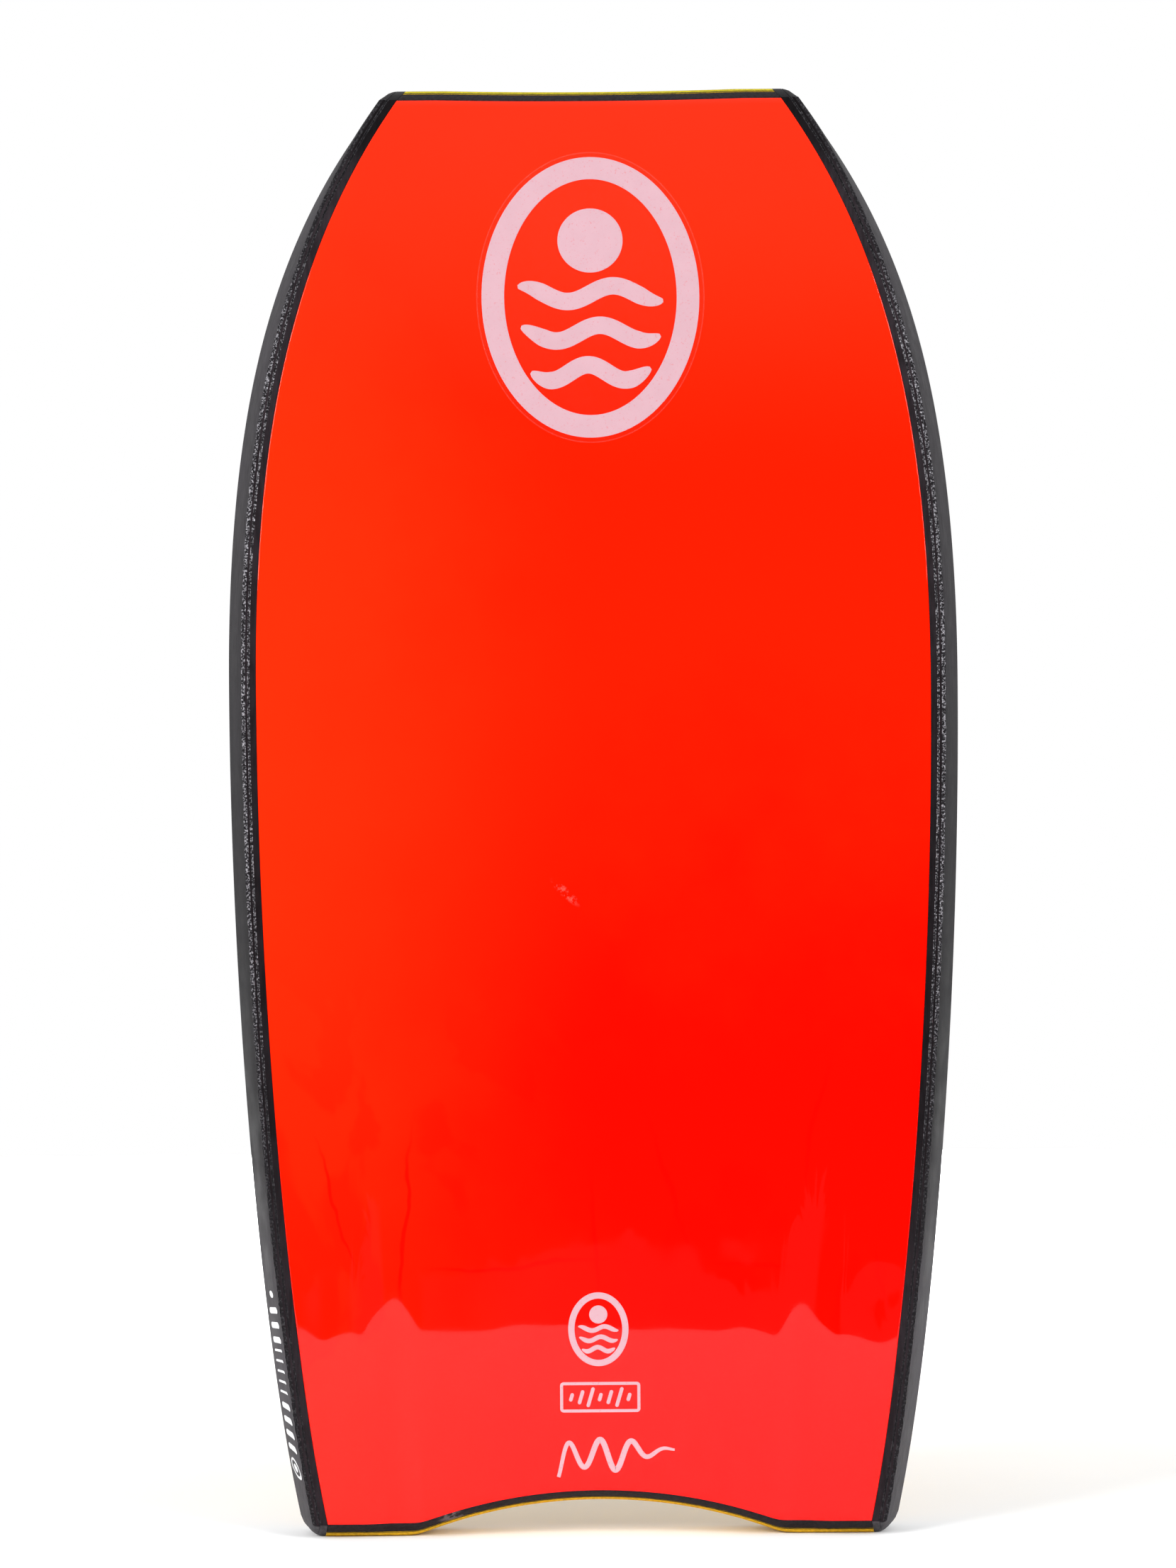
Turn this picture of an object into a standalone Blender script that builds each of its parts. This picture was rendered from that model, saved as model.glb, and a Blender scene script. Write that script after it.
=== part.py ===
"""A bodyboard standing on its tail, nose up, with its slick bottom facing -Y and its deck facing +Y.

Width runs along X, depth along Y and length along Z. All the flat pieces are lofts through one board:
a point on it is given by its distance along the board, its place across, its inset from the side and
its depth below the slick or below the deck.
"""

import math

import bmesh
import bpy

# Plan shape, in metres.
LENGTH = 1.067
WIDEST_AT = 0.630
HALF_WIDTH = 0.2688
TAIL_TAPER = (0.0447, 0.0066)
TAIL_POWERS = (2, 8)
NOSE_TAPER = (0.0596, 0.0587)
NOSE_POWERS = (2, 4)
CRESCENT_DEPTH = 0.0258
CRESCENT_HALF = 0.137
CRESCENT_BLEND = 0.08
CRESCENT_PAD = -0.5
TAIL_CORNER = (0.0030, 0.0135)
NOSE_CORNER = (0.0030, 0.0075)
CORNER_DEPTH = 0.022
NOSE_DIP = 0.0015
NOSE_DIP_HALF = 0.11
END_REACH = 0.30

# Side view. The board thins from the middle to the tail and to the nose.
THICKNESS = 0.054
TAIL_THICKNESS = 0.048
TAIL_THINS_FROM = 0.30 * LENGTH
NOSE_THICKNESS = 0.044
NOSE_THINS_FROM = 0.55 * LENGTH
SLICK_AT = -0.0437
NOSE_ROCKER = 0.042
NOSE_ROCKER_FROM = 0.533
NOSE_ROCKER_POWER = 2.2
TAIL_ROCKER = 0.005
TAIL_ROCKER_TO = 0.250

# Rails: the side leans out to an apex at 60% of the thickness, then back in to the deck.
APEX = 0.60
LOWER_LEAN = 0.0113
UPPER_LEAN = 0.0075
NOSE_LEAN_LOSS = 0.95
NOSE_LEAN_FROM = 0.80
TAIL_LEAN_LOSS = 0.15
TAIL_LEAN_TO = 0.14
RAIL_LAYER = 0.0054
RAIL_MIDDLE = 0.4

# Trimmed corners of the outer rails: the inset at the face, and how much of it is left at the next line.
SLICK_EDGE = 0.0032
SLICK_EDGE_DEPTH = 0.00128
SLICK_EDGE_LEFT = 0.25
SLICK_EDGE_END = 0.9
DECK_EDGE = 0.0040
DECK_EDGE_LEFT = 0.15

# Skins, and the gap between touching pieces.
GAP = 0.0003
STRIP_GAP = 1.5 * GAP
SLICK = 0.0016
MESH = 0.0006
CORE_TOP = SLICK + MESH + 3 * GAP
DECK = 0.0040
STRIP = 0.0040

# End profile, as (distance in from the end, depth). The strip lies on the slanted part. The nose's
# profile is the same, but shorter along the board.
SLANT_TOP = (0.0105, 0.0)
SLANT_FOOT = (0.0038, 0.0093)
ROUND_MID = (0.0011, 0.0122)
ROUND_END = (0.0, 0.0155)
NOSE_END = 0.86
DECK_ROUND = 0.010

# Tail channels in the slick. They fade out along the board, and into the core.
CHANNEL_AT = 0.147
CHANNEL_FLARE = 0.05
CHANNEL_HALF = 0.0235
CHANNEL_DEPTH = 0.0038
CHANNEL_RUN = (0.030, 0.330)
CHANNEL_FADES = (0.0030, 0.0125)

# Nose bulbs under the deck skin, as a share of the half width and a place along the board.
BULB_ACROSS = 0.64
BULB_ALONG = 0.985
BULB_RISE = 0.009
BULB_FLAT = (0.08, 0.015)
BULB_FALL = (0.30, 0.075)
BULB_SHARES = (0.4, 0.92)
BULB_FROM = 0.93

# Stringer tube and its bore in the core.
STRINGER_RADIUS = 0.0055
STRINGER_WALL = 0.0012
STRINGER_FROM = 0.056
STRINGER_TO = 0.780
STRINGER_AT = SLICK_AT + THICKNESS / 2
PLUG_SPIGOT = 0.012
PLUG_CAP = 0.006
TURN_STEPS = 20
WELD = 0.0001

# Clear film under the nose emblem.
FILM_CENTRE = 0.909
FILM_HALF = (0.0845, 0.109)
FILM_THICKNESS = 0.0002
FILM_CELLS = 10

# Faces that meet at less than this are shaded as one surface.
SMOOTH_ANGLE = math.radians(30)

# Grid lines of the lofts: distances along the board and shares of the half width.
ALONG = (0.032, 0.06, 0.10, 0.15, 0.21, 0.28, 0.36, 0.45, 0.54, 0.63, 0.71, 0.78, 0.84, 0.89, 0.93,
         0.965, 0.995, 1.02, 1.04)
HALF_ACROSS = (0.2, 0.4, 0.54, 0.62, 0.68, 0.735, 0.79, 0.845, 0.92, 1.0)
ACROSS = tuple(-share for share in reversed(HALF_ACROSS)) + (0.0,) + HALF_ACROSS

RAILS_WIDE = 2 * RAIL_LAYER + 2 * GAP


def smooth(value):
    value = min(max(value, 0.0), 1.0)
    return value * value * (3 - 2 * value)


def half_width(z):
    if z < WIDEST_AT:
        share, taper, powers = (WIDEST_AT - z) / WIDEST_AT, TAIL_TAPER, TAIL_POWERS
    else:
        share, taper, powers = (z - WIDEST_AT) / (LENGTH - WIDEST_AT), NOSE_TAPER, NOSE_POWERS
    return HALF_WIDTH - sum(size * share**power for size, power in zip(taper, powers))


def stretch(z):
    """How much wider a rail layer is along X than square to the outline."""
    step = 0.001
    return math.hypot(1.0, (half_width(z + step) - half_width(z - step)) / (2 * step))


def thickness(z):
    tail = max(0.0, 1 - z / TAIL_THINS_FROM) ** 2
    nose = max(0.0, (z - NOSE_THINS_FROM) / (LENGTH - NOSE_THINS_FROM)) ** 2
    return THICKNESS - (THICKNESS - TAIL_THICKNESS) * tail - (THICKNESS - NOSE_THICKNESS) * nose


def slick_line(z):
    """Y of the slick: flat along the middle, kicked back towards the deck at the nose and the tail."""
    nose = max(0.0, (z - NOSE_ROCKER_FROM) / (LENGTH - NOSE_ROCKER_FROM))
    tail = max(0.0, 1 - z / TAIL_ROCKER_TO)
    return SLICK_AT + NOSE_ROCKER * nose**NOSE_ROCKER_POWER + TAIL_ROCKER * tail**2


def lean(depth, z):
    """How far the side stands in from the apex at this depth below the slick."""
    full = thickness(z)
    nose = 1 - NOSE_LEAN_LOSS * max(0.0, (z - NOSE_LEAN_FROM) / (LENGTH - NOSE_LEAN_FROM)) ** 3
    if depth < APEX * full:
        tail = 1 - TAIL_LEAN_LOSS * max(0.0, 1 - z / TAIL_LEAN_TO)
        return LOWER_LEAN * nose * tail * (1 - depth / (APEX * full))
    return UPPER_LEAN * nose * (depth - APEX * full) / ((1 - APEX) * full)


def corner(inboard, radius):
    """Drop of a rounded corner at a distance in from the side."""
    reach = radius - min(max(inboard, 0.0), radius)
    return radius - math.sqrt(radius * radius - reach * reach)


def crescent(x):
    """The arch in the tail: a parabola with a soft join to the flat pads."""
    def soft(value):
        return (value + math.hypot(value, CRESCENT_BLEND)) / 2

    arch = soft(1 - (x / CRESCENT_HALF) ** 2) - soft(CRESCENT_PAD)
    return CRESCENT_DEPTH * max(0.0, arch)


def radius_at(radii, depth):
    """A corner of the outline is tight at the slick and opens out towards the apex."""
    return radii[0] + (radii[1] - radii[0]) * min(max(depth / CORNER_DEPTH, 0.0), 1.0)


def end_shift(along, share, inset, depth=CORNER_DEPTH):
    """How far the tail's and the nose's outline move this point along the board."""
    tail_x = abs(share) * (half_width(0) - inset)
    nose_x = abs(share) * (half_width(LENGTH) - inset)
    lift = crescent(tail_x) + corner(half_width(0) - tail_x, radius_at(TAIL_CORNER, depth))
    dip = NOSE_DIP * max(0.0, 1 - (nose_x / NOSE_DIP_HALF) ** 2)
    drop = dip + corner(half_width(LENGTH) - nose_x, radius_at(NOSE_CORNER, depth))
    tail_fade = max(0.0, 1 - along / END_REACH) ** 2
    nose_fade = max(0.0, 1 - (LENGTH - along) / END_REACH) ** 2
    return lift * tail_fade - drop * nose_fade


def channel(x, z, depth):
    """Depth of the tail channels at a place on the slick, or at a depth below it."""
    off = (abs(x) - CHANNEL_AT - CHANNEL_FLARE * z) / CHANNEL_HALF
    if abs(off) >= 1:
        return 0.0
    start, end = CHANNEL_RUN
    lengthwise = 1 - smooth((z - start) / (end - start))
    full_to, gone_at = CHANNEL_FADES
    inward = min(max((gone_at - depth) / (gone_at - full_to), 0.0), 1.0)
    return CHANNEL_DEPTH * (1 - off * off) ** 2 * lengthwise * inward


def bulb(share, along):
    """Rise of the deck over the nose bulbs."""
    across = 1 - smooth((abs(abs(share) - BULB_ACROSS) - BULB_FLAT[0]) / BULB_FALL[0])
    lengthwise = 1 - smooth((abs(along - BULB_ALONG) - BULB_FLAT[1]) / BULB_FALL[1])
    return BULB_RISE * across * lengthwise


def place(along, share, inset, depth, from_deck=False, raised=True):
    """World point. share is -1 to 1 across, inset is in from the side, depth is below slick or deck."""
    z = along + end_shift(along, share, inset, CORNER_DEPTH if from_deck else depth)
    below_slick = thickness(z) - depth if from_deck else depth
    x = share * (half_width(z) - lean(below_slick, z) - inset * stretch(z))
    y = slick_line(z) + below_slick
    if from_deck and raised:
        y += bulb(share, along)
    if not from_deck and raised:
        y += channel(x, z, depth)
    return x, y, z


def band(shape, line, other):
    """Faces between two lines of points, every cell cut along the same diagonal."""
    for i in range(len(line) - 1):
        shape.faces.new((line[i], line[i + 1], other[i + 1]))
        shape.faces.new((line[i], other[i + 1], other[i]))


def loft(layers):
    """Closed mesh through equal grids of points: the first and last are filled, the rims are joined.

    The cells are cut alike in every piece, so that two pieces on the same grid lines nest.
    """
    shape = bmesh.new()
    grids = [[[shape.verts.new(point) for point in row] for row in layer] for layer in layers]
    for grid in (grids[0], grids[-1]):
        for row, after in zip(grid, grid[1:]):
            band(shape, row, after)
    for near, far in zip(grids, grids[1:]):
        for line, other in zip(borders(near), borders(far)):
            band(shape, line, other)
    bmesh.ops.recalc_face_normals(shape, faces=shape.faces)
    if shape.calc_volume(signed=True) < 0:
        bmesh.ops.reverse_faces(shape, faces=shape.faces)
    return shape


def borders(grid):
    return grid[0], grid[-1], [row[0] for row in grid], [row[-1] for row in grid]


def stations(tail_in, nose_in):
    """The distances along the board, from one end's inset to the other's."""
    return (tail_in,) + ALONG + (LENGTH - nose_in,)


def offset(path, distance):
    """The path moved in from the board's end by a distance square to it, with mitred corners."""
    normals = []
    for (e0, d0), (e1, d1) in zip(path, path[1:]):
        size = math.hypot(e1 - e0, d1 - d0)
        normals.append(((d1 - d0) / size, (e0 - e1) / size))
    normals = [normals[0]] + normals + [normals[-1]]
    moved = []
    for (e, d), (a, b), (a2, b2) in zip(path, normals, normals[1:]):
        scale = distance / (1 + a * a2 + b * b2)
        moved.append((e + (a + a2) * scale, d + (b + b2) * scale))
    return moved


def end_path(at_nose):
    """Slick side of an end, from the slick to the flat of the end."""
    scale = NOSE_END if at_nose else 1.0
    return [(e * scale, d) for e, d in (SLANT_TOP, SLANT_FOOT, ROUND_MID, ROUND_END)]


def deck_path():
    """Round of the end on the deck side, as (in from the end, depth below the deck)."""
    turns = (0, 30, 60, 90)
    return [(DECK_ROUND * (1 - math.cos(math.radians(turn))),
             DECK_ROUND * (1 - math.sin(math.radians(turn)))) for turn in turns]


def material(name, colour, roughness, alpha=1.0):
    made = bpy.data.materials.new(name)
    made.use_nodes = True
    shader = made.node_tree.nodes["Principled BSDF"]
    shader.inputs["Base Color"].default_value = (*colour, 1.0)
    shader.inputs["Roughness"].default_value = roughness
    shader.inputs["Alpha"].default_value = alpha
    return made


def add_object(name, shape, finish, collection):
    mesh = bpy.data.meshes.new(name)
    shape.to_mesh(mesh)
    shape.free()
    mesh.shade_smooth()
    mesh.set_sharp_from_angle(angle=SMOOTH_ANGLE)
    made = bpy.data.objects.new(name, mesh)
    if finish:
        mesh.materials.append(finish)
    collection.objects.link(made)
    return made


def slant_end(at_nose, depth):
    """Where a layer under the slick stops, just clear of the strip's inner side."""
    (slant_e, _), (foot_e, foot_d) = end_path(at_nose)[:2]
    return slant_e + depth * foot_d / (slant_e - foot_e) + STRIP_GAP


def skin(name, top, thick, finish, collection):
    """A sheet on the slick side. Its ends follow the slant behind the end strips."""
    layers = []
    for depth in (top, top + thick):
        lines = stations(slant_end(False, depth), slant_end(True, depth))
        layers.append([[place(v, share, RAILS_WIDE, depth) for share in ACROSS] for v in lines])
    return add_object(name, loft(layers), finish, collection)


def core_layer(tail_point, nose_point, from_deck=False, raised=False):
    """The core's grid through one point of each end's profile."""
    (tail_e, tail_d), (nose_e, nose_d) = tail_point, nose_point
    rows = []
    for v in stations(tail_e, nose_e):
        depth = tail_d + (nose_d - tail_d) * v / LENGTH
        rows.append([place(v, share, RAILS_WIDE + GAP, depth, from_deck, raised)
                     for share in ACROSS])
    return rows


def core_apex_layer(end):
    """The core's grid at the rails' apex, whose depth follows the board's thickness."""
    return [[place(v, share, RAILS_WIDE + GAP, APEX * thickness(v), raised=False)
             for share in ACROSS] for v in stations(end, end)]


def foam_core(finish, collection, bore):
    """The blank. Its ends are set in by the strip's and the deck skin's thickness."""
    inset = DECK + GAP
    tail, nose = (offset(end_path(at_nose), inset + GAP) for at_nose in (False, True))
    tops = [(slant_end(at_nose, CORE_TOP), CORE_TOP) for at_nose in (False, True)]
    layers = [core_layer(*tops, raised=True)]
    layers += [core_layer(tail[i], nose[i]) for i in (1, 3)]
    layers.append(core_apex_layer(inset))
    layers += [core_layer(point, point, from_deck=True) for point in offset(deck_path(), -inset)]
    made = add_object("foam_core", loft(layers), finish, collection)
    cut = made.modifiers.new("stringer_bore", "BOOLEAN")
    cut.operation = "DIFFERENCE"
    cut.solver = "EXACT"
    cut.object = bore
    return made


def deck_skin(finish, collection):
    """The deck, wrapped round both ends to the strips."""
    def rows_of(path, at_nose, from_deck):
        return [[place(LENGTH - e if at_nose else e, share, RAILS_WIDE, d, from_deck)
                 for share in ACROSS] for e, d in path]

    layers = []
    for move in (0.0, DECK):
        ends = []
        for at_nose in (False, True):
            slick_side = end_path(at_nose)
            slick_side = [past(*slick_side[:2], STRIP_GAP)] + slick_side[2:]
            ends.append(rows_of(offset(slick_side, move), at_nose, False)
                        + rows_of(offset(deck_path(), -move), at_nose, True))
        middle = [[place(v, share, RAILS_WIDE, move, True) for share in ACROSS] for v in ALONG]
        layers.append(ends[0] + middle + ends[1][::-1])
    return add_object("deck_skin", loft(layers), finish, collection)


def past(start, end, distance):
    """The point that lies a distance past the end of a straight line."""
    size = math.hypot(end[0] - start[0], end[1] - start[1])
    return tuple(e + (e - s) * distance / size for s, e in zip(start, end))


def end_strip(name, at_nose, finish, collection):
    """A strip along the slanted part of one end."""
    layers = []
    for move in (0.0, STRIP):
        path = offset(end_path(at_nose)[:2], move)
        layers.append([[place(LENGTH - e if at_nose else e, share, RAILS_WIDE, d)
                        for share in ACROSS] for e, d in path])
    return add_object(name, loft(layers), finish, collection)


def rail(name, side, insets, lower, upper, finish, collection):
    """One rail layer on one side, as grids through its depth from the slick towards the deck."""
    outer, inner = insets
    outside = outer == 0.0
    layers = []
    if lower:
        edge = SLICK_EDGE if outside else 0.0
        start, foot, _, end = end_path(False)
        next_line = (start[0] * SLICK_EDGE_END, SLICK_EDGE_DEPTH)
        for (e, d), extra in ((start, edge), (next_line, edge * SLICK_EDGE_LEFT), (foot, 0.0), (end, 0.0)):
            layers.append(rail_layer(side, (e, e * NOSE_END), d, 0.0, outer + extra, inner))
    joint = 0.0 if lower and upper else GAP / 2
    layers.append(rail_layer(side, (0.0, 0.0), joint if upper else -joint, APEX, outer, inner))
    if upper:
        edge = DECK_EDGE if outside else 0.0
        for (e, d), extra in zip(deck_path(), (0.0, 0.0, edge * DECK_EDGE_LEFT, edge)):
            layers.append(rail_layer(side, (e, e), -d, 1.0, outer + extra, inner))
    return add_object(name, loft(layers), finish, collection)


def rail_layer(side, ends, depth, share_of_thickness, outer, inner):
    """A rail's grid at one depth, with a middle line that follows the rounded corner."""
    middle = outer + (inner - outer) * RAIL_MIDDLE
    rows = []
    for v in stations(*ends):
        row = []
        for inset in (outer, middle, inner):
            full = thickness(v + end_shift(v, 1.0, inset))
            row.append(place(v, side, inset, depth + share_of_thickness * full, raised=False))
        rows.append(row)
    return rows


def nose_bulb(name, side, finish, collection):
    """Foam that lifts the deck skin beside the nose, on the same grid lines as the skin."""
    shares = [share for share in ACROSS if BULB_SHARES[0] <= side * share <= BULB_SHARES[1]]
    places = [v for v in ALONG if v >= BULB_FROM]
    bottom = [[place(v, share, RAILS_WIDE, DECK, True, False) for share in shares] for v in places]
    top = [[place(v, share, RAILS_WIDE, DECK + GAP, True) for share in shares] for v in places]
    return add_object(name, loft([bottom, top]), finish, collection)


def emblem_film(finish, collection):
    """Clear oval film on the slick. A square grid is mapped to a disc."""
    layers = []
    for above in (GAP, GAP + FILM_THICKNESS):
        rows = []
        for j in range(FILM_CELLS + 1):
            row = []
            for i in range(FILM_CELLS + 1):
                a = 2 * i / FILM_CELLS - 1
                b = 2 * j / FILM_CELLS - 1
                x = a * math.sqrt(1 - b * b / 2) * FILM_HALF[0]
                z = FILM_CENTRE + b * math.sqrt(1 - a * a / 2) * FILM_HALF[1]
                row.append((x, slick_line(z) - above, z))
            rows.append(row)
        layers.append(rows)
    return add_object("nose_emblem_film", loft(layers), finish, collection)


def turned(name, profile, closed, finish, collection):
    """A piece turned about the stringer's line. The profile runs down its outer side."""
    shape = bmesh.new()
    points = [shape.verts.new((radius, 0.0, z)) for radius, z in profile]
    for first, second in zip(points, points[1:] + points[:1] if closed else points[1:]):
        shape.edges.new((first, second))
    made = add_object(name, shape, finish, collection)
    made.location.y = STRINGER_AT
    screw = made.modifiers.new("turn", "SCREW")
    screw.steps = TURN_STEPS
    screw.render_steps = TURN_STEPS
    screw.use_merge_vertices = True
    screw.merge_threshold = WELD
    screw.use_smooth_shade = True
    return made


def stringer(finish, plug_finish, collection):
    """The tube, and a stepped plug in each of its ends."""
    inside = STRINGER_RADIUS - STRINGER_WALL
    tube = [(STRINGER_RADIUS, STRINGER_TO), (STRINGER_RADIUS, STRINGER_FROM),
            (inside, STRINGER_FROM), (inside, STRINGER_TO)]
    turned("stringer_tube", tube, True, finish, collection)
    spigot = inside - GAP
    top = STRINGER_TO + GAP
    turned("stringer_nose_plug",
           [(0.0, top + PLUG_CAP), (STRINGER_RADIUS, top + PLUG_CAP), (STRINGER_RADIUS, top),
            (spigot, top), (spigot, top - PLUG_SPIGOT), (0.0, top - PLUG_SPIGOT)],
           False, plug_finish, collection)
    end = STRINGER_FROM - GAP
    mouth = CRESCENT_DEPTH + DECK + 2 * GAP
    turned("stringer_tail_plug",
           [(0.0, end + PLUG_SPIGOT), (spigot, end + PLUG_SPIGOT), (spigot, end),
            (STRINGER_RADIUS, end), (STRINGER_RADIUS, mouth), (0.0, mouth)],
           False, plug_finish, collection)


def bore_cutter(collection):
    radius = STRINGER_RADIUS + GAP
    top = STRINGER_TO + PLUG_CAP + 2 * GAP
    cutter = turned("stringer_bore_cutter", [(0.0, top), (radius, top), (radius, 0.0), (0.0, 0.0)],
                    False, None, collection)
    cutter.hide_render = True
    cutter.display_type = "WIRE"
    return cutter


def main():
    for old in list(bpy.data.objects):
        bpy.data.objects.remove(old, do_unlink=True)
    parts = bpy.data.collections.new("bodyboard")
    cutters = bpy.data.collections.new("cutters")
    for collection in (parts, cutters):
        bpy.context.scene.collection.children.link(collection)

    foam = material("foam", (0.86, 0.86, 0.83), 0.8)
    carbon = material("carbon", (0.03, 0.03, 0.035), 0.35)
    plug = material("plug", (0.12, 0.12, 0.12), 0.5)
    net = material("net", (0.75, 0.75, 0.75), 0.7)
    red = material("slick_red", (0.90, 0.03, 0.01), 0.18)
    yellow = material("deck_yellow", (0.78, 0.48, 0.02), 0.7)
    black = material("rail_black", (0.045, 0.04, 0.045), 0.6)
    clear = material("clear_film", (0.95, 0.95, 0.95), 0.1, alpha=0.3)

    foam_core(foam, parts, bore_cutter(cutters))
    stringer(carbon, plug, parts)
    skin("slick_skin", 0.0, SLICK, red, parts)
    skin("slick_mesh", SLICK + GAP, MESH, net, parts)
    deck_skin(yellow, parts)
    end_strip("nose_strip", True, black, parts)
    end_strip("tail_strip", False, black, parts)
    for side, word in ((-1, "left"), (1, "right")):
        inner = (RAIL_LAYER + GAP, 2 * RAIL_LAYER + GAP)
        rail(f"inner_rail_{word}", side, inner, True, True, black, parts)
        rail(f"lower_rail_{word}", side, (0.0, RAIL_LAYER), True, False, black, parts)
        rail(f"upper_rail_{word}", side, (0.0, RAIL_LAYER), False, True, black, parts)
        nose_bulb(f"nose_bulb_{word}", side, foam, parts)
    emblem_film(clear, parts)


main()
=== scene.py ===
"""Looks of a bodyboard that stands on its tail with its slick towards -Y.

Every visible piece is rebuilt as a fine closed mesh over the frame. A point on the board is given by its
distance along it, its place across, its inset from the side and its depth below the slick or the deck.
"""

import math

import bpy
import numpy as np
from mathutils import Matrix, Vector

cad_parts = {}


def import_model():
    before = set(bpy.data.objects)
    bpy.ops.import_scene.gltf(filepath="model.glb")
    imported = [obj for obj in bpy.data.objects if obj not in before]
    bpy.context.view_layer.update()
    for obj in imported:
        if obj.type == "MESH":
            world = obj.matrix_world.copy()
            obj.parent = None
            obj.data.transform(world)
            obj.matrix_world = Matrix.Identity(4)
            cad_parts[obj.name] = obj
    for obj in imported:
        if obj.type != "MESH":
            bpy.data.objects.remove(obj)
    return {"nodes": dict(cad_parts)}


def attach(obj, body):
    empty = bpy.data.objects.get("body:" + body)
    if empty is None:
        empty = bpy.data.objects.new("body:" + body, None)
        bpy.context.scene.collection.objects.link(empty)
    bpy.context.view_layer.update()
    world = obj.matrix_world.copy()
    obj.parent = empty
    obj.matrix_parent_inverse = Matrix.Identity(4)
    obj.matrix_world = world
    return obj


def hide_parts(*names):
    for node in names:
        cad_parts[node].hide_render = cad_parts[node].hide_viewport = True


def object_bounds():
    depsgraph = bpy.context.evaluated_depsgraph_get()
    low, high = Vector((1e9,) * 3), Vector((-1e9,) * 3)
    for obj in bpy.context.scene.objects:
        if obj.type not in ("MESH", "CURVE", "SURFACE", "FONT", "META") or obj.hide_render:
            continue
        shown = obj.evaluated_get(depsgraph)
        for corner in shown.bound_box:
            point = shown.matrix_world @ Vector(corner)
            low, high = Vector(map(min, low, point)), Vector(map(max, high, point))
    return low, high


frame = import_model()
cad_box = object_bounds()

# Driving dimensions, from the frame, in metres.
LENGTH = cad_box[1].z
HALF_WIDTH = 0.0001 + cad_box[1].x
SLICK_AT = cad_box[0].y

# Plan shape.
WIDEST_AT = 0.630
TAIL_TAPER = (0.0447, 0.0066)
TAIL_POWERS = (2, 8)
NOSE_TAPER = (0.0596, 0.0587)
NOSE_POWERS = (2, 4)
CRESCENT_DEPTH = 0.0258
CRESCENT_HALF = 0.137
CRESCENT_BLEND = 0.08
TAIL_CORNER = (0.0030, 0.0135)
NOSE_CORNER = (0.0030, 0.0075)
CORNER_DEPTH = 0.022
NOSE_DIP = 0.0015
NOSE_DIP_HALF = 0.11
END_REACH = 0.30

# Side view.
THICKNESS = 0.054
TAIL_THICKNESS = 0.048
TAIL_THINS_TO = 0.3201
NOSE_THICKNESS = 0.044
NOSE_THINS_FROM = 0.58685
NOSE_ROCKER = 0.042
NOSE_ROCKER_FROM = 0.533
NOSE_ROCKER_POWER = 2.2
TAIL_ROCKER = 0.005
TAIL_ROCKER_TO = 0.250

# Rails.
APEX = 0.60
LOWER_LEAN = 0.0113
UPPER_LEAN = 0.0075
NOSE_LEAN_LOSS = 0.95
NOSE_LEAN_FROM = 0.80
TAIL_LEAN_LOSS = 0.15
TAIL_LEAN_TO = 0.14
GAP = 0.0003
RAIL_LAYER = 0.0054
RAILS_WIDE = 2 * RAIL_LAYER + 2 * GAP
RAIL_EDGE_ROUND = 0.0032
RAIL_EDGE_DEEP = 0.0014
RAIL_EDGE_REST = 0.0008
DECK_EDGE_ROUND = 0.0040

# Skins, end profile, channels and bulbs.
SLICK = 0.0016
DECK = 0.0040
STRIP = 0.0040
SLANT_TOP = (0.0105, 0.0)
SLANT_FOOT = (0.0038, 0.0093)
ROUND_MID = (0.0011, 0.0122)
ROUND_END = (0.0, 0.0155)
NOSE_END = 0.86
DECK_ROUND = 0.010
DECK_FLAT_FROM = 0.014
DARK_BAND_ROWS = (1, 2)
EDGE_ROWS = 10
CHANNEL_AT = 0.147
CHANNEL_FLARE = 0.05
CHANNEL_HALF = 0.0235
CHANNEL_DEPTH = 0.0038
CHANNEL_FROM = 0.030
CHANNEL_LENGTH = 0.330
CHANNEL_FADES = (0.0030, 0.0125)
BULB_ACROSS = 0.64
BULB_ALONG = 0.985
BULB_RISE = 0.009
BULB_FLAT = (0.08, 0.015)
BULB_FALL = (0.30, 0.075)

# The slick's unevenness: waves as cell, slope and place in the noise, and tilts near the tail as place
# across, reach and slope.
SWELLS = ((0.070, 0.0050, 149, 81), (0.028, 0.0030, 9, 74), (0.012, 0.0011, 118, 199))
DENTS = ((-0.219, 0.017, -0.0050), (-0.201, 0.012, 0.0038), (-0.138, 0.010, 0.0030),
         (0.106, 0.022, -0.0044), (0.174, 0.011, -0.0026), (0.206, 0.022, 0.0088))
DENTS_AT = 0.138
DENTS_REACH = 0.032

# Marks on the slick, as (x, z) of the middle: a scuff, and fine creases, painted as lines of shade, with
# their lean and half length.
SCUFF_AT = (-0.0217, 0.472)
SCUFF_LEAN = math.radians(-44)
SCUFF_REACH = (0.016, 0.05, 0.0042)
ORIGIN = (0.0, 0.0, 0.0)
CREASES = (((-0.191, 0.240), 19, 0.066), ((-0.137, 0.235), -2, 0.085), ((-0.004, 0.215), 0, 0.065),
           ((0.058, 0.245), 21, 0.085), ((0.160, 0.300), -12, 0.060), ((0.205, 0.180), 7, 0.036),
           ((-0.055, 0.201), 90, 0.085), ((0.110, 0.197), 88, 0.045))
CREASE_HALF = 0.0021

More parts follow.
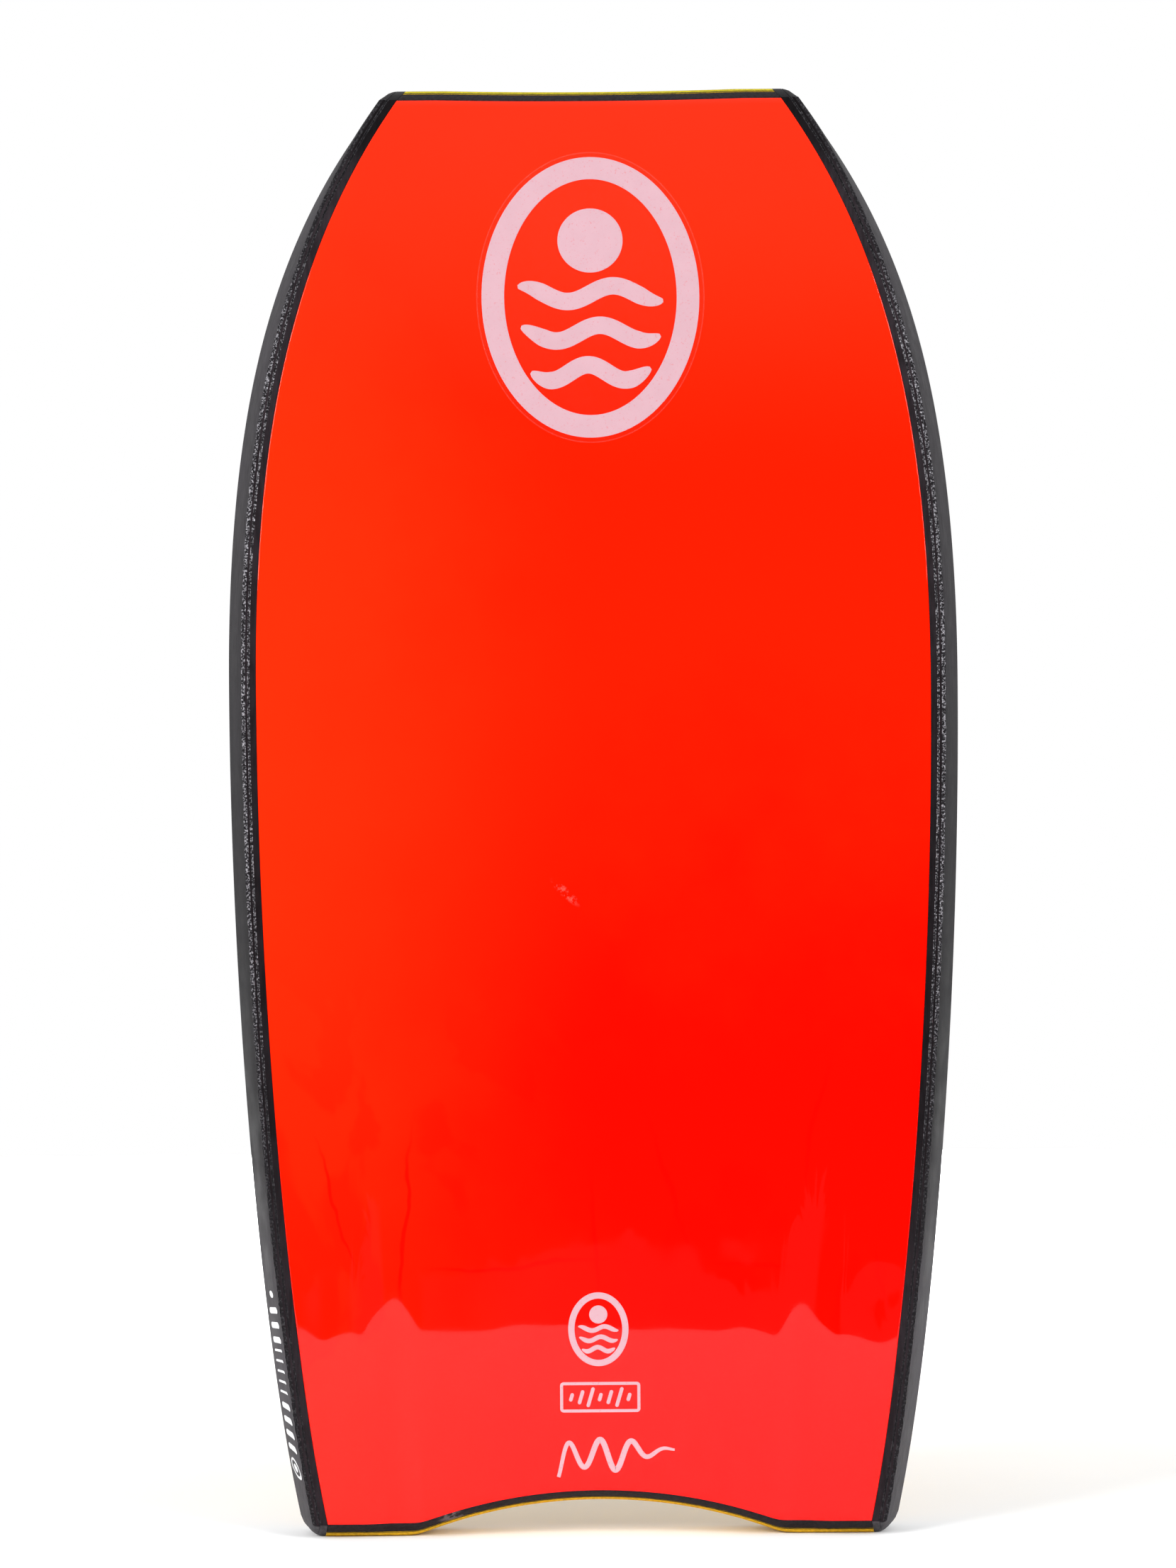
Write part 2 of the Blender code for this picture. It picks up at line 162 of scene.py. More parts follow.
# Prints, as (x, z) of the middle and (width, height). The film under the large badge reaches past it.
NOSE_BADGE = ((0.0, 0.909), (0.160, 0.209))
FILM_MARGIN = 0.0030
FILM_RIM = 0.0004
FILM_LIFT = 0.00006
FILM_THICK = 0.00008
NOSE_INK = 0.00004
TAIL_BADGE = ((0.0, 0.153), (0.044, 0.054))
TAIL_LABEL = ((0.0010, 0.1033), (0.0564, 0.0200))
LABEL_ROUND = 0.0016
LABEL_LINE = 0.0011
LABEL_BARS = 7
LABEL_BAR_HALF = 0.0013
LABEL_PITCH = 0.0070
FLOURISH_AT = (0.0126, 0.0624)
FLOURISH_SPAN = 0.085
TAIL_INK = 0.00005

# Print on the left rail: distance along, depth of its middle, and bars as count, half width, reach, pitch.
RING_AT = 0.0430
BARS_FROM = 0.0590
RAIL_PRINT_DEPTH = 0.0152
RAIL_BARS = ((4, 0.0023, 0.0092, 0.0108), (5, 0.0009, 0.0086, 0.0080), (3, 0.0023, 0.0092, 0.0112))
BAR_SLANT = 0.0020
RAIL_PRINT_LIFT = 0.00006
RAIL_INK = 0.00008

# Fine relief: the slick's rolled edge as (depth, inset), beads beside the rail joints, and trimmed corners.
SLICK_ROLL = ((0.0, 0.0004), (0.00006, 0.00016), (0.00028, 0.0), (SLICK, 0.0))
SLICK_ROWS = 250
RAIL_ROWS = 1180
UPPER_RAIL_ROWS = 720
JOINT = RAIL_LAYER + GAP / 2
BEAD_HALF = 0.0011
BEAD_HEIGHT = 0.00030
BEAD_STEPS = (0.0003, 0.0006, 0.0009)
LOWER_ROUGH = 0.00028
UPPER_ROUGH = 0.00022
SIDE_POINTS = ((0.0004, 0.0050), (0.0, 0.0093), (0.0, 0.0155))
STRIP_ROUND = 0.0006
STRIP_EDGES = ((0.0, 0.0007), (0.0001, 0.0003), (STRIP_ROUND, 0.0), (STRIP, 0.0))
STRIP_WOBBLE = (0.00022, 0.00010)
STRIP_CROWN = 0.00025

# Camera and floor.
CAMERA_AT = (-0.0045, SLICK_AT - 3.0, 0.551)
CAMERA_ROLL = 0.44
SENSOR = 24.0
LENS = 62.93
FLOOR_FRONT = -0.965
FLOOR_BACK = 3.1
FLOOR_HALF = 3.0


# ---------------------------------------------------------------- the board's surfaces

def smooth(value):
    """0 to 1 with a level start and end."""
    value = np.clip(value, 0.0, 1.0)
    return value * value * (3 - 2 * value)


def half_width(z):
    """Half of the board's width at the apex."""
    tail = np.clip((WIDEST_AT - z) / WIDEST_AT, 0, None)
    nose = np.clip((z - WIDEST_AT) / (LENGTH - WIDEST_AT), 0, None)
    taken = sum(size * tail**power for size, power in zip(TAIL_TAPER, TAIL_POWERS))
    taken = taken + sum(size * nose**power for size, power in zip(NOSE_TAPER, NOSE_POWERS))
    return HALF_WIDTH - taken


def stretch(z):
    """How much longer a square inset from the outline is when it is taken straight across."""
    step = 0.001
    return np.hypot(1.0, (half_width(z + step) - half_width(z - step)) / (2 * step))


def thickness(z):
    """From the slick to the deck."""
    tail = np.clip(1 - z / TAIL_THINS_TO, 0, None) ** 2
    nose = np.clip((z - NOSE_THINS_FROM) / (LENGTH - NOSE_THINS_FROM), 0, None) ** 2
    return THICKNESS - (THICKNESS - TAIL_THICKNESS) * tail - (THICKNESS - NOSE_THICKNESS) * nose


def slick_line(z):
    """The rocker: y of the slick."""
    nose = np.clip((z - NOSE_ROCKER_FROM) / (LENGTH - NOSE_ROCKER_FROM), 0, None)
    tail = np.clip(1 - z / TAIL_ROCKER_TO, 0, None)
    return SLICK_AT + NOSE_ROCKER * nose**NOSE_ROCKER_POWER + TAIL_ROCKER * tail**2


def lean(depth, z):
    """How far the side lies inside the apex at a depth below the slick."""
    full = thickness(z)
    nose = 1 - NOSE_LEAN_LOSS * np.clip((z - NOSE_LEAN_FROM) / (LENGTH - NOSE_LEAN_FROM), 0, None) ** 3
    tail = 1 - TAIL_LEAN_LOSS * np.clip(1 - z / TAIL_LEAN_TO, 0, None)
    lower = LOWER_LEAN * nose * tail * (1 - depth / (APEX * full))
    upper = UPPER_LEAN * nose * (depth - APEX * full) / ((1 - APEX) * full)
    return np.where(depth < APEX * full, lower, upper)


def corner(inboard, radius):
    """How far a round corner draws an end in, at a distance from the side."""
    reach = radius - np.clip(inboard, 0, radius)
    return radius - np.sqrt(radius * radius - reach * reach)


def crescent(x):
    """Depth of the tail's hollow, softened where it starts."""
    def soft(value):
        return (value + np.hypot(value, CRESCENT_BLEND)) / 2
    return CRESCENT_DEPTH * np.clip(soft(1 - (x / CRESCENT_HALF) ** 2) - soft(-0.5), 0, None)


def radius_at(radii, depth):
    """Radius of an end's corner, which grows from the slick downwards."""
    return radii[0] + (radii[1] - radii[0]) * np.clip(depth / CORNER_DEPTH, 0, 1)


def end_shift(along, share, inset, depth=CORNER_DEPTH):
    """How far the shape of the two ends moves a point along the board."""
    tail_x = np.abs(share) * (half_width(0.0) - inset)
    nose_x = np.abs(share) * (half_width(LENGTH) - inset)
    lift = crescent(tail_x) + corner(half_width(0.0) - tail_x, radius_at(TAIL_CORNER, depth))
    drop = NOSE_DIP * np.clip(1 - (nose_x / NOSE_DIP_HALF) ** 2, 0, None)
    drop = drop + corner(half_width(LENGTH) - nose_x, radius_at(NOSE_CORNER, depth))
    tail_fade = np.clip(1 - along / END_REACH, 0, None) ** 2
    nose_fade = np.clip(1 - (LENGTH - along) / END_REACH, 0, None) ** 2
    return lift * tail_fade - drop * nose_fade


def channel(x, z, depth):
    """Depth of the two tail channels, which fades away inside the board."""
    off = np.clip((np.abs(x) - CHANNEL_AT - CHANNEL_FLARE * z) / CHANNEL_HALF, -1, 1)
    start, end = CHANNEL_FADES
    inward = np.clip((end - depth) / (end - start), 0, 1)
    lengthwise = 1 - smooth((z - CHANNEL_FROM) / (CHANNEL_LENGTH - CHANNEL_FROM))
    return CHANNEL_DEPTH * lengthwise * (1 - off * off) ** 2 * inward


def bulb(share, along):
    """Rise of the deck over the bulbs at the nose corners."""
    across = 1 - smooth((np.abs(np.abs(share) - BULB_ACROSS) - BULB_FLAT[0]) / BULB_FALL[0])
    lengthwise = 1 - smooth((np.abs(along - BULB_ALONG) - BULB_FLAT[1]) / BULB_FALL[1])
    return BULB_RISE * across * lengthwise


def place(along, share, inset, depth, from_deck=False, raised=True):
    """Points of the board, as an array whose last axis is x, y, z."""
    along, share, inset, depth = np.broadcast_arrays(*map(np.asarray, (along, share, inset, depth)))
    z = along + end_shift(along, share, inset, CORNER_DEPTH if from_deck else depth)
    below = thickness(z) - depth if from_deck else depth
    x = share * (half_width(z) - lean(below, z) - inset * stretch(z))
    y = slick_line(z) + below
    if raised:
        y = y + (bulb(share, along) if from_deck else channel(x, z, depth))
    return np.stack([x, y, z], axis=-1)


def grain(u, v, seed):
    """Smooth noise from -1 to 1 with a cell of one unit."""
    size = 256
    table = np.random.default_rng(seed).uniform(-1, 1, (size, size))
    u, v = np.broadcast_arrays(np.asarray(u, float), np.asarray(v, float))
    i = np.floor(u).astype(int)
    j = np.floor(v).astype(int)
    a = smooth(u - i)
    b = smooth(v - j)
    def at(di, dj):
        return table[(i + di) % size, (j + dj) % size]
    return (at(0, 0) * (1 - a) + at(1, 0) * a) * (1 - b) + (at(0, 1) * (1 - a) + at(1, 1) * a) * b


def dents(x, up):
    """Height of the slick's slight tilts near the tail: place across, reach and slope of each."""
    fade = 1 - smooth(np.abs(up) / DENTS_REACH - 1)
    return up * fade * sum(slope * smooth(1 - np.abs(x - at) / reach) for at, reach, slope in DENTS)


def swell(x, z):
    """Height of the slick's faint unevenness: cell size, slope and place in the noise of each octave."""
    total = 0.0
    for seed, (cell, slope, right, up) in enumerate(SWELLS):
        total = total + slope * cell / 2 * grain(x / cell + right, z / cell + up, seed)
    return total + dents(x, z - DENTS_AT)


# ---------------------------------------------------------------- meshes

def to_object(name, points, faces, finishes, face_slots, angle=40):
    """A smooth object with sharp edges where faces meet at more than the angle, in degrees."""
    mesh = bpy.data.meshes.new(name)
    mesh.from_pydata(points.tolist(), [], faces.tolist())
    for finish in finishes:
        mesh.materials.append(finish)
    mesh.polygons.foreach_set("material_index", np.asarray(face_slots, np.int32))
    mesh.shade_smooth()
    mesh.set_sharp_from_angle(angle=math.radians(angle))
    mesh.update()
    made = bpy.data.objects.new(name, mesh)
    bpy.context.scene.collection.objects.link(made)
    return made


def outward(points, faces):
    """The faces turned so that the body's volume is positive."""
    a, b, c, d = (points[faces[:, k]] for k in range(4))
    volume = sum(np.einsum("ij,ij->i", a, np.cross(*pair)).sum() for pair in ((b, c), (c, d)))
    return faces if volume > 0 else faces[:, ::-1]


def grid_faces(index):
    """Quads between the rows and columns of a grid of point numbers."""
    return np.stack([index[:-1, :-1], index[:-1, 1:], index[1:, 1:], index[1:, :-1]], -1).reshape(-1, 4)


def rim_of(index):
    """The point numbers round a grid."""
    return np.concatenate([index[0, :-1], index[:-1, -1], index[-1, :0:-1], index[:0:-1, 0]])


def solid(name, layers, finishes, first_slots=0, side_slots=0, angle=40):
    """Closed mesh through equal grids: the first and last are filled, and the rims are joined.

    first_slots gives a finish to each column of the first grid, side_slots to each pair of layers.
    """
    rows, columns = layers[0].shape[:2]
    index = np.arange(rows * columns).reshape(rows, columns)
    rim = rim_of(index)
    points = [layers[0].reshape(-1, 3)]
    rims = [rim]
    count = rows * columns
    for layer in layers[1:-1]:
        points.append(layer.reshape(-1, 3)[rim])
        rims.append(count + np.arange(len(rim)))
        count += len(rim)
    points.append(layers[-1].reshape(-1, 3))
    rims.append(count + rim)
    first = grid_faces(index)
    faces = [first, grid_faces(count + index)[:, ::-1]]
    slots = [np.broadcast_to(first_slots, (rows - 1, columns - 1)).ravel(), np.zeros(len(first), int)]
    between = np.broadcast_to(side_slots, len(layers) - 1)
    for near, far, slot in zip(rims, rims[1:], between):
        near_next = np.roll(near, -1)
        far_next = np.roll(far, -1)
        faces.append(np.stack([near_next, near, far, far_next], -1))
        slots.append(np.full(len(near), slot))
    points = np.concatenate(points)
    faces = outward(points, np.concatenate(faces))
    return to_object(name, points, faces, finishes, np.concatenate(slots), angle)


def decal(name, sheets, surface, finish, lift, thick):
    """Thin closed bands laid on a surface. Each sheet is a grid of flat points, and may close on itself."""
    points = []
    faces = []
    count = 0
    for rows, closed in sheets:
        n, m = rows.shape[:2]
        top = surface(rows[..., 0], rows[..., 1], lift + thick).reshape(-1, 3)
        bottom = surface(rows[..., 0], rows[..., 1], lift).reshape(-1, 3)
        index = np.arange(n * m).reshape(n, m)
        loop = np.concatenate([index, index[:1]]) if closed else index
        upper = grid_faces(loop)
        if closed:
            edges = [loop[:, 0][::-1], loop[:, -1]]
        else:
            rim = rim_of(index)
            edges = [np.append(rim, rim[0])]
        sides = [np.stack([edge[1:], edge[:-1], edge[:-1] + n * m, edge[1:] + n * m], -1) for edge in edges]
        body = np.concatenate([upper, (upper + n * m)[:, ::-1]] + sides)
        both = np.concatenate([top, bottom])
        faces.append(outward(both, body) + count)
        points.append(both)
        count += len(both)
    faces = np.concatenate(faces)
    return to_object(name, np.concatenate(points), faces, [finish], np.zeros(len(faces)), 30)


def ribbon(path, half, columns=3, closed=False):
    """Grid of flat points along a path, as wide as its half width says."""
    path = np.asarray(path, float)
    if closed:
        tangent = np.roll(path, -1, 0) - np.roll(path, 1, 0)
    else:
        tangent = np.gradient(path, axis=0)
    tangent /= np.linalg.norm(tangent, axis=1, keepdims=True)
    normal = np.stack([-tangent[:, 1], tangent[:, 0]], -1)
    across = np.linspace(-1, 1, columns)[None, :, None]
    half = np.broadcast_to(half, len(path))[:, None, None]
    return path[:, None, :] + normal[:, None, :] * across * half, closed


def bar(start, end, half, steps=24):
    """A straight bar with round ends."""
    start, end = np.asarray(start, float), np.asarray(end, float)
    size = np.linalg.norm(end - start)
    along = (1 - np.cos(np.linspace(0, math.pi, steps))) / 2 * size
    near = np.clip(np.minimum(along, size - along) / half, 0, 1)
    width = half * np.sqrt(np.clip(1 - (1 - near) ** 2, 0.0004, 1))
    return ribbon(start + (end - start) * (along / size)[:, None], width)


def disc(centre, radius, steps=17):
    """A disc, from a square grid."""
    a, b = np.meshgrid(np.linspace(-1, 1, steps), np.linspace(-1, 1, steps))
    flat = np.stack([a * np.sqrt(1 - b * b / 2), b * np.sqrt(1 - a * a / 2)], -1)
    return np.asarray(centre) + flat * np.asarray(radius), False


def oval(centre, radii, half, steps=120):
    """An oval ring."""
    turn = np.linspace(0, 2 * math.pi, steps, endpoint=False)
    path = np.stack([centre[0] + radii[0] * np.cos(turn), centre[1] + radii[1] * np.sin(turn)], -1)
    return ribbon(path, half, closed=True)


def frame_line(centre, size, radius, half, steps=10):
    """Outline of a rectangle with round corners."""
    path = []
    for k, (sx, sz) in enumerate(((1, 1), (-1, 1), (-1, -1), (1, -1))):
        turn = np.linspace(0, math.pi / 2, steps) + k * math.pi / 2
        path.append(np.stack([centre[0] + sx * (size[0] / 2 - radius) + radius * np.cos(turn),
                              centre[1] + sz * (size[1] / 2 - radius) + radius * np.sin(turn)], -1))
    return ribbon(np.concatenate(path), half, closed=True)


# ---------------------------------------------------------------- materials

def feed(tree, socket, value):
    """Another node's output is linked, and anything else is the socket's own value."""
    if isinstance(value, bpy.types.NodeSocket):
        tree.links.new(value, socket)
    else:
        socket.default_value = value


def add(tree, kind, inputs=None, **settings):
    """A shader node with its inputs and settings."""
    made = tree.nodes.new("ShaderNode" + kind)
    for name, value in settings.items():
        setattr(made, name, value)
    for name, value in (inputs or {}).items():
        feed(tree, made.inputs[name], value)
    return made


def begin(name):
    """A new material, its tree, its shader and the object's coordinates."""
    made = bpy.data.materials.new(name)
    made.use_nodes = True
    tree = made.node_tree
    coords = add(tree, "TexCoord").outputs["Object"]
    return made, tree, tree.nodes["Principled BSDF"], coords


def noise(tree, coords, scale, detail=2.0, rough=0.5, distortion=0.0):
    """Soft noise from about 0.25 to 0.75."""
    inputs = {"Vector": coords, "Scale": scale, "Detail": detail, "Roughness": rough,
              "Distortion": distortion}
    return add(tree, "TexNoise", inputs).outputs["Fac"]


def cells(tree, coords, scale, feature="F1"):
    """Distance from the middle or the edge of irregular cells."""
    return add(tree, "TexVoronoi", {"Vector": coords, "Scale": scale}, feature=feature).outputs["Distance"]


def stretched(tree, coords, scale):
    return add(tree, "Mapping", {"Vector": coords, "Scale": scale}).outputs["Vector"]


def ramp(tree, value, low, high, to_low=0.0, to_high=1.0):
    """A smooth step from to_low at low to to_high at high."""
    inputs = {"Value": value, "From Min": low, "From Max": high, "To Min": to_low, "To Max": to_high}
    return add(tree, "MapRange", inputs, interpolation_type="SMOOTHSTEP").outputs["Result"]


def maths(tree, operation, a, b=0.0):
    return add(tree, "Math", {0: a, 1: b}, operation=operation).outputs[0]


def mix(tree, factor, low, high):
    """From the low colour at 0 to the high one at 1. The node's colour sockets are its inputs 6 and 7."""
    low, high = ((*colour, 1.0) if isinstance(colour, tuple) else colour for colour in (low, high))
    return add(tree, "Mix", {0: factor, 6: low, 7: high}, data_type="RGBA").outputs[2]


def height_of(tree, coords):
    return add(tree, "SeparateXYZ", {0: coords}).outputs["Z"]


def scaled(tree, colour, factor):
    return add(tree, "VectorMath", {0: colour, "Scale": factor}, operation="SCALE").outputs["Vector"]


def bump(tree, shader, height, distance, strength=1.0):
    made = add(tree, "Bump", {"Height": height, "Distance": distance, "Strength": strength})
    tree.links.new(made.outputs["Normal"], shader.inputs["Normal"])


def finish_with(tree, shader, colour, roughness, ior=1.5, specular=0.5):
    """The shader's colour, roughness and reflection."""
    for name, value in (("Base Color", colour), ("Roughness", roughness), ("IOR", ior),
                        ("Specular IOR Level", specular)):
        feed(tree, shader.inputs[name], value)


def spot(tree, coords, centre, reach):
    """1 at a place on the board, fading to 0 at the reach along each axis."""
    moved = add(tree, "VectorMath", {0: coords, 1: centre}, operation="SUBTRACT").outputs["Vector"]
    shrunk = add(tree, "VectorMath", {0: moved, 1: reach}, operation="DIVIDE").outputs["Vector"]
    distance = add(tree, "VectorMath", {0: shrunk}, operation="LENGTH").outputs["Value"]
    return ramp(tree, distance, 0.4, 1.0, 1.0, 0.0)


def turned(tree, coords, at, angle):
    """Coordinates about a place on the slick, turned in its plane."""
    move = (-at[0] * math.cos(angle) - at[1] * math.sin(angle), -SLICK_AT,
            at[0] * math.sin(angle) - at[1] * math.cos(angle))
    inputs = {"Vector": coords, "Location": move, "Rotation": (0.0, angle, 0.0)}
    return add(tree, "Mapping", inputs, vector_type="POINT").outputs["Vector"]


def creases(tree, coords):
    """1 along each fine crease, which wanders a little."""
    shift = maths(tree, "MULTIPLY", maths(tree, "SUBTRACT", noise(tree, coords, 14.0, 3.0), 0.5), 0.030)
    shift = add(tree, "CombineXYZ", {"X": shift, "Z": shift}).outputs["Vector"]
    wandering = add(tree, "VectorMath", {0: coords, 1: shift}, operation="ADD").outputs["Vector"]
    found = 0.0
    for at, degrees, half in CREASES:
        leaning = turned(tree, wandering, at, math.radians(degrees))
        found = maths(tree, "MAXIMUM", spot(tree, leaning, ORIGIN, (CREASE_HALF, 0.05, half)), found)
    return found


def slick_material():
    """Glossy red film: a slightly uneven red, more orange upwards, leftwards and at the nose as painted
    sheen, darker patches low down, painted shade along a few fine creases, and one small scuff.
    """
    made, tree, shader, coords = begin("slick_red")
    clouds = noise(tree, coords, 7.0, 5.0, 0.6)
    drift = maths(tree, "MULTIPLY", maths(tree, "SUBTRACT", clouds, 0.5), 0.30)
    at = add(tree, "SeparateXYZ", {0: coords}).outputs
    # Painted sheen: the red turns more orange upwards, to the left and towards the nose, along a wandering
    # edge.
    up = ramp(tree, maths(tree, "ADD", at["Z"], drift), 0.34, 0.66)
    left = ramp(tree, maths(tree, "ADD", at["X"], maths(tree, "MULTIPLY", drift, 0.5)), 0.02, -0.25)
    left = maths(tree, "MULTIPLY", left, ramp(tree, at["Z"], 0.05, 0.60, 0.30, 1.0))
    pale = maths(tree, "MAXIMUM", left, ramp(tree, at["Z"], 0.76, 0.98, 0.0, 0.80))
    colour = mix(tree, up, (0.90, 0.0020, 0.0003), (0.91, 0.0090, 0.0007))
    colour = mix(tree, pale, colour, (0.92, 0.0205, 0.0024))
    low = ramp(tree, at["Z"], 0.46, 0.26)
    patch = ramp(tree, noise(tree, stretched(tree, coords, (1.0, 1.0, 0.6)), 9.0, 4.0, 0.5, 0.8), 0.54, 0.575)
    patch = maths(tree, "MULTIPLY", low, maths(tree, "MULTIPLY", patch, 0.35))
    # Painted shade: a deeper red along the creases. The darker patches low down are mixed in with it.
    dark = maths(tree, "MAXIMUM", patch, maths(tree, "MULTIPLY", creases(tree, coords), 0.8))
    colour = mix(tree, dark, colour, (0.84, 0.0012, 0.0002))
    scratch = spot(tree, turned(tree, coords, SCUFF_AT, SCUFF_LEAN), ORIGIN, SCUFF_REACH)
    flecks = ramp(tree, noise(tree, coords, 240.0, 3.0, 0.7), 0.47, 0.60)
    colour = mix(tree, maths(tree, "MULTIPLY", scratch, flecks), colour, (0.95, 0.06, 0.045))
    rough = ramp(tree, noise(tree, coords, 40.0, 3.0), 0.3, 0.7, 0.022, 0.034)
    finish_with(tree, shader, colour, rough, 1.36)
    return made


def rail_material(name, dark, light, specular, tail, nose):
    """Closed-cell foam, dark grey with a satin face and faint streaks along the board, paler towards its ends
    as painted light, and darker again at the nose tip.
    """
    made, tree, shader, coords = begin(name)
    streaks = noise(tree, stretched(tree, coords, (1.0, 1.0, 0.12)), 420.0, 3.0, 0.6)
    colour = mix(tree, ramp(tree, streaks, 0.3, 0.7), dark, light)
    clouds = noise(tree, coords, 35.0, 3.0)
    cloudy = tuple(1.5 * part for part in light)
    colour = mix(tree, ramp(tree, clouds, 0.4, 0.75, 0.0, 0.45), colour, cloudy)
    height = height_of(tree, coords)
    # Painted light: the foam is made several times paler towards the tail and the nose, then darker again at
    # the nose tip.
    painted_light_near_tail = ramp(tree, height, 0.32, 0.13, 1.0, tail)
    paler = maths(tree, "MAXIMUM", painted_light_near_tail, ramp(tree, height, 0.33, 0.98, 1.0, nose))
    paler = maths(tree, "MULTIPLY", paler, ramp(tree, height, 0.99, 1.035, 1.0, 0.25))
    colour = scaled(tree, colour, paler)
    finish_with(tree, shader, colour, ramp(tree, clouds, 0.3, 0.7, 0.48, 0.62), 1.42, specular)
    bump(tree, shader, noise(tree, coords, 900.0, 3.0, 0.6), 0.00015, 0.6)
    return made


def cut_material():
    """Open cells where the foam was trimmed: grey crumbs over dark pits, partly their own grey and partly
    painted highlight, dimmed towards both ends as painted shade.
    """
    made, tree, shader, coords = begin("rail_cut")
    crumbs = noise(tree, coords, 620.0, 4.0, 0.65)
    pits = cells(tree, coords, 700.0)
    # The grey crumbs are partly the cells' own tone and partly painted highlight where the cells catch the
    # light.
    bright = maths(tree, "MULTIPLY", ramp(tree, crumbs, 0.44, 0.66), ramp(tree, pits, 0.25, 0.6))
    height = height_of(tree, coords)
    # Painted shade: the crumbs fade towards the tail and the nose, where the light does not catch them.
    painted_shade_to_tail = ramp(tree, height, 0.22, 0.52, 0.09, 1.0)
    painted_shade_to_nose = ramp(tree, height, 0.98, 0.84, 0.12, 1.0)
    bright = maths(tree, "MULTIPLY", bright, maths(tree, "MULTIPLY", painted_shade_to_tail, painted_shade_to_nose))
    colour = mix(tree, bright, (0.0065, 0.0054, 0.0068), (0.36, 0.35, 0.38))
    finish_with(tree, shader, colour, 0.85, 1.42, 0.2)
    bump(tree, shader, crumbs, 0.0006, 1.0)
    return made


def strip_material():
    """The end strips: matt black foam with a fine cell and one grey scuff on the tail."""
    made, tree, shader, coords = begin("strip_black")
    fine = noise(tree, coords, 500.0, 3.0, 0.6)
    colour = mix(tree, ramp(tree, fine, 0.3, 0.75), (0.0105, 0.0080, 0.0092), (0.0210, 0.0170, 0.0190))
    scuff = spot(tree, coords, (-0.108, -0.035, 0.014), (0.012, 0.02, 0.010))
    worn = ramp(tree, noise(tree, coords, 180.0, 3.0), 0.45, 0.6)
    colour = mix(tree, maths(tree, "MULTIPLY", scuff, worn), colour, (0.12, 0.10, 0.105))
    finish_with(tree, shader, colour, 0.7, 1.42, 0.12)
    bump(tree, shader, fine, 0.0002, 0.6)
    return made


def deck_material():
    """Yellow cross-linked foam with a fine pebble, painted shade in the hollows between pebbles, and a
    slightly worn, cloudy colour.
    """
    made, tree, shader, coords = begin("deck_yellow")
    clouds = noise(tree, coords, 14.0, 4.0, 0.6)
    colour = mix(tree, ramp(tree, clouds, 0.3, 0.7), (0.76, 0.43, 0.010), (0.84, 0.52, 0.018))
    pebble = cells(tree, coords, 520.0)
    # Painted shade: darker yellow in the hollows between the pebbles, where the bump is lowest.
    colour = mix(tree, ramp(tree, pebble, 0.15, 0.5, 0.0, 0.35), colour, (0.60, 0.31, 0.006))
    finish_with(tree, shader, colour, ramp(tree, clouds, 0.3, 0.7, 0.52, 0.66))
    bump(tree, shader, maths(tree, "SUBTRACT", 1.0, pebble), 0.00035, 0.5)
    return made


def edge_material(name, tail, nose):
    """The deck's trimmed edge beside an end strip, duller at the nose than at the tail, which is painted
    shade.
    """
    made, tree, shader, coords = begin(name)
    fine = ramp(tree, noise(tree, coords, 400.0, 3.0, 0.6), 0.3, 0.7, 0.75, 1.1)
    height = height_of(tree, coords)
    colour = mix(tree, ramp(tree, height, 0.1, 0.9), tail, nose)
    colour = scaled(tree, colour, fine)
    finish_with(tree, shader, colour, 0.8, 1.42, 0.2)
    return made


def print_material(name, colour, faded):
    """Screen ink: nearly even, with a faint weave of pinholes."""
    made, tree, shader, coords = begin(name)
    holes = ramp(tree, noise(tree, coords, 700.0, 2.0), 0.25, 0.4)
    clouds = ramp(tree, noise(tree, coords, 60.0, 3.0), 0.3, 0.7, 0.0, 0.5)
    even = mix(tree, clouds, colour, tuple(0.93 * part for part in colour))
    finish_with(tree, shader, mix(tree, holes, faded, even), 0.28)
    return made


def film_material(name, alpha):
    """Clear film with faint dust."""
    made, tree, shader, coords = begin(name)
    dust = ramp(tree, noise(tree, coords, 300.0, 3.0), 0.3, 0.8)
    colour = mix(tree, dust, (0.95, 0.30, 0.24), (0.98, 0.48, 0.42))
    finish_with(tree, shader, colour, 0.06)
    shader.inputs["Alpha"].default_value = alpha
    return made


def core_material():
    """Expanded bead foam."""
    made, tree, shader, coords = begin("core_beads")
    line = ramp(tree, cells(tree, coords, 260.0, "DISTANCE_TO_EDGE"), 0.0, 0.10)
    colour = mix(tree, line, (0.62, 0.62, 0.58), (0.86, 0.86, 0.82))
    finish_with(tree, shader, colour, 0.8)
    bump(tree, shader, line, 0.0004, 0.6)
    return made


def weave_material():
    """Woven composite tube: two crossed sets of fibres."""
    made, tree, shader, coords = begin("stringer_weave")
    checks = add(tree, "TexChecker", {"Vector": coords, "Scale": 400.0})
    streaks = noise(tree, stretched(tree, coords, (1.0, 1.0, 0.1)), 1500.0, 2.0)
    colour = mix(tree, checks.outputs["Fac"], (0.018, 0.018, 0.020), (0.05, 0.05, 0.055))
    colour = mix(tree, ramp(tree, streaks, 0.4, 0.7, 0.0, 0.5), colour, (0.09, 0.09, 0.10))
    finish_with(tree, shader, colour, 0.3)
    return made


def plug_material():
    """Moulded plastic with a fine speckle."""
    made, tree, shader, coords = begin("plug_moulded")
    speckle = noise(tree, coords, 900.0, 2.0)
    colour = mix(tree, ramp(tree, speckle, 0.3, 0.7), (0.09, 0.09, 0.09), (0.14, 0.14, 0.14))
    finish_with(tree, shader, colour, 0.5)
    bump(tree, shader, speckle, 0.0001, 0.5)
    return made


